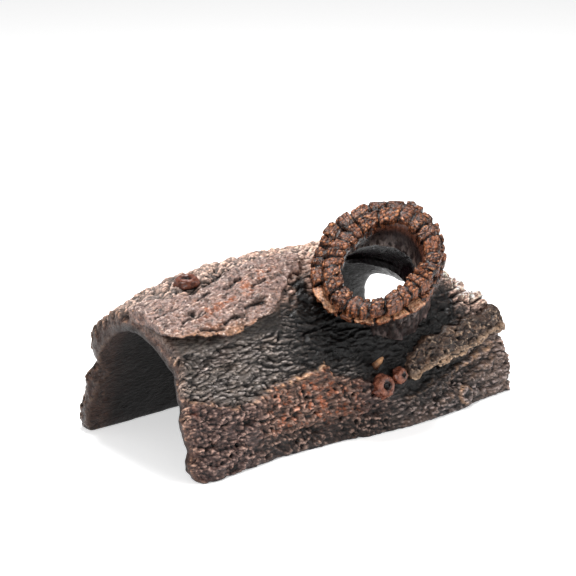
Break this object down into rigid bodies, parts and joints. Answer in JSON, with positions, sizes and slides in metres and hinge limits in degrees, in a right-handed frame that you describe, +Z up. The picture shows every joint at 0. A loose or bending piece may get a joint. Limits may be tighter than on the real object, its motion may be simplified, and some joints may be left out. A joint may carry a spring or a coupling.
{
  "type": "resin cave ornament",
  "caption": "Hollow half-log cave for an aquarium floor, open at both ends and below, with a leaning branch stump whose scaly mouth opens into the hollow.",
  "frame": {"origin": "middle of the bounding box's footprint, on the ground plane the two long feet stand on", "axes": "+X along the log towards the obliquely broken end, +Y from the front wall with the stump to the rear wall, +Z up"},
  "size_m": [0.1618, 0.0864, 0.0814],
  "materials": {
    "bark_resin": "hand-painted cast polyresin, dark brown-black bark with a thin semi-gloss sealing coat",
    "crown_bark_resin": "hand-painted cast polyresin, pinkish brown with tan dry-brushed ridges, semi-gloss seal",
    "side_bark_resin": "hand-painted cast polyresin, tan-brown rough bark, semi-gloss seal",
    "stump_resin": "hand-painted cast polyresin, mauve-grey wrinkled wood, satin",
    "rim_resin": "hand-painted cast polyresin, copper-brown bark scales with tan highlights, semi-gloss",
    "burl_resin": "hand-painted cast polyresin, reddish brown, gloss",
    "spur_resin": "hand-painted cast polyresin, light tan, satin",
    "epoxy": "cured dark two-part epoxy"
  },
  "bodies": {
    "root": {"log_shell": "bark_resin", "crown_bark_slab": "crown_bark_resin", "side_bark_slab": "side_bark_resin", "stump_collar": "stump_resin", "rim_ring_inner": "rim_resin", "rim_ring_outer": "rim_resin", "burl_large": "burl_resin", "burl_small": "burl_resin", "twig_spur": "spur_resin", "crown_knot": "burl_resin", "collar_bond": "epoxy"}
  },
  "joints": []
}
